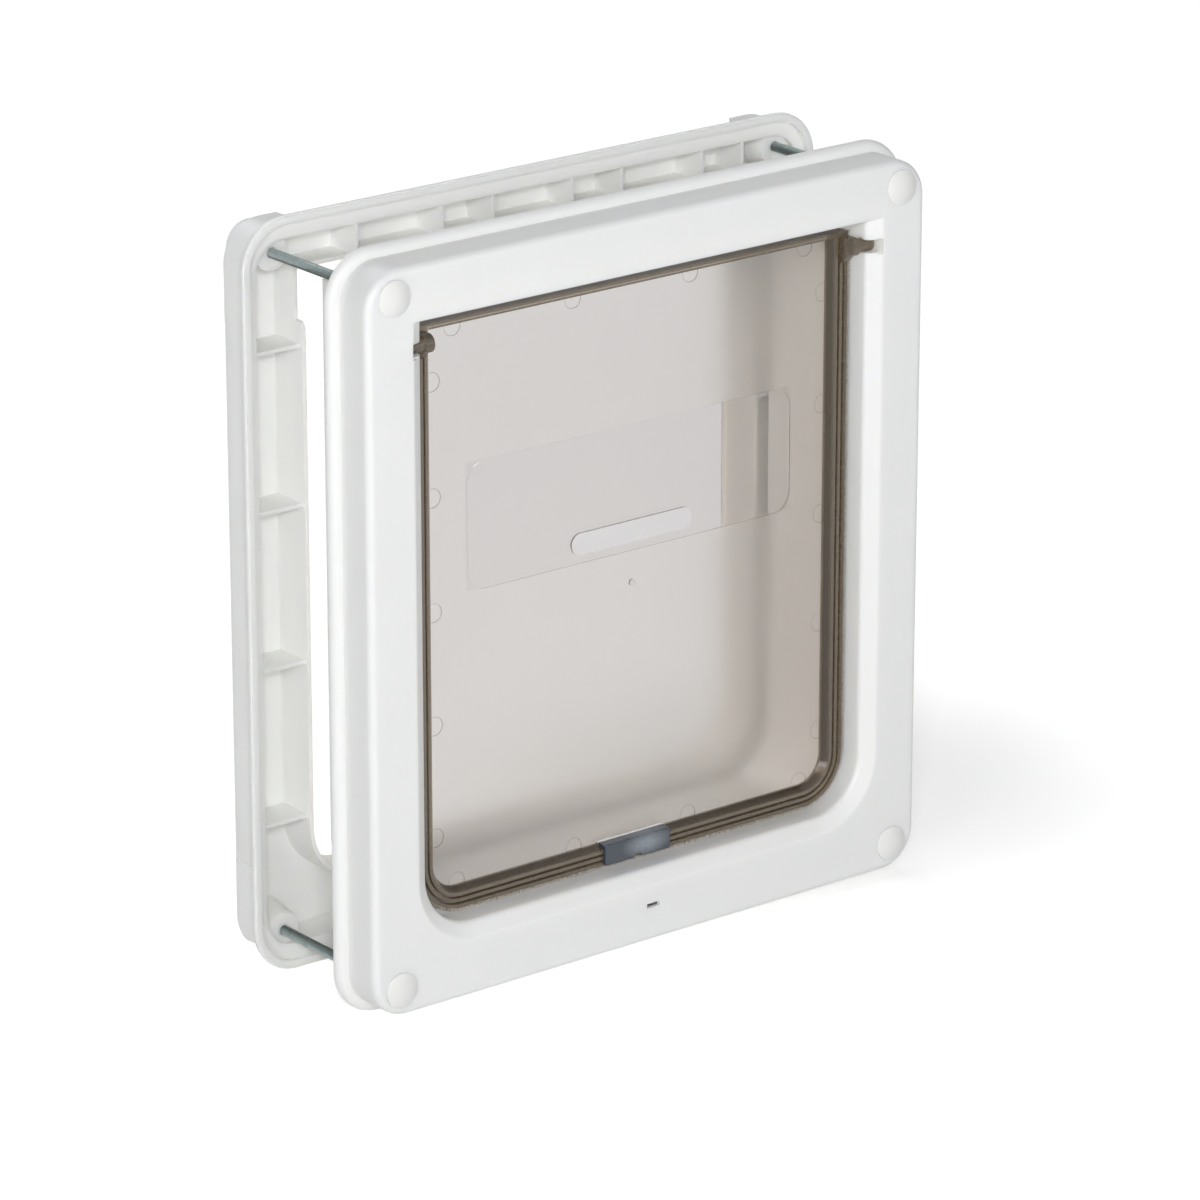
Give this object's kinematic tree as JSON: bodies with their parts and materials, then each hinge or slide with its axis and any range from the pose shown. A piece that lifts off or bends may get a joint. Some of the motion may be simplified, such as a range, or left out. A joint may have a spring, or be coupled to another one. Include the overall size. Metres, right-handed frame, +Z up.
{
  "type": "pet door",
  "caption": "White pet door for a door leaf: moulded front and rear frames clamped by long screws, with a tinted see-through flap that swings both ways on a magnetic catch.",
  "frame": {"origin": "under the middle of the assembly, on the plane that both flanges stand on", "axes": "the front face looks towards -Y, +X is to the right seen from the front, +Z is up"},
  "size_m": [0.334, 0.115, 0.364],
  "materials": {
    "frame_plastic": "satin",
    "cap_plastic": "satin",
    "screw_steel": "bright zinc plate",
    "flap_plastic": "smoke-tinted, clear",
    "pile": "woven pile",
    "catch_plastic": "dark translucent",
    "clip_plastic": "satin",
    "magnet": "sintered ferrite"
  },
  "bodies": {
    "frame": {"front_frame": "frame_plastic", "rear_frame": "frame_plastic", "frame_screws": "screw_steel", "screw_cap_top_left": "cap_plastic", "screw_cap_top_right": "cap_plastic", "screw_cap_bottom_left": "cap_plastic", "screw_cap_bottom_right": "cap_plastic", "sill_magnet": "magnet", "sill_magnet_clip": "clip_plastic"},
    "flap": {"flap": "flap_plastic", "flap_pile": "pile", "catch_housing": "catch_plastic", "catch_magnet": "magnet"}
  },
  "joints": [
    {"name": "flap_swing", "type": "hinge", "parent": "frame", "child": "flap", "pos_m": [0, -0.046, 0.3192], "axis": [1, 0, 0], "range_deg": [-80, 80]}
  ]
}
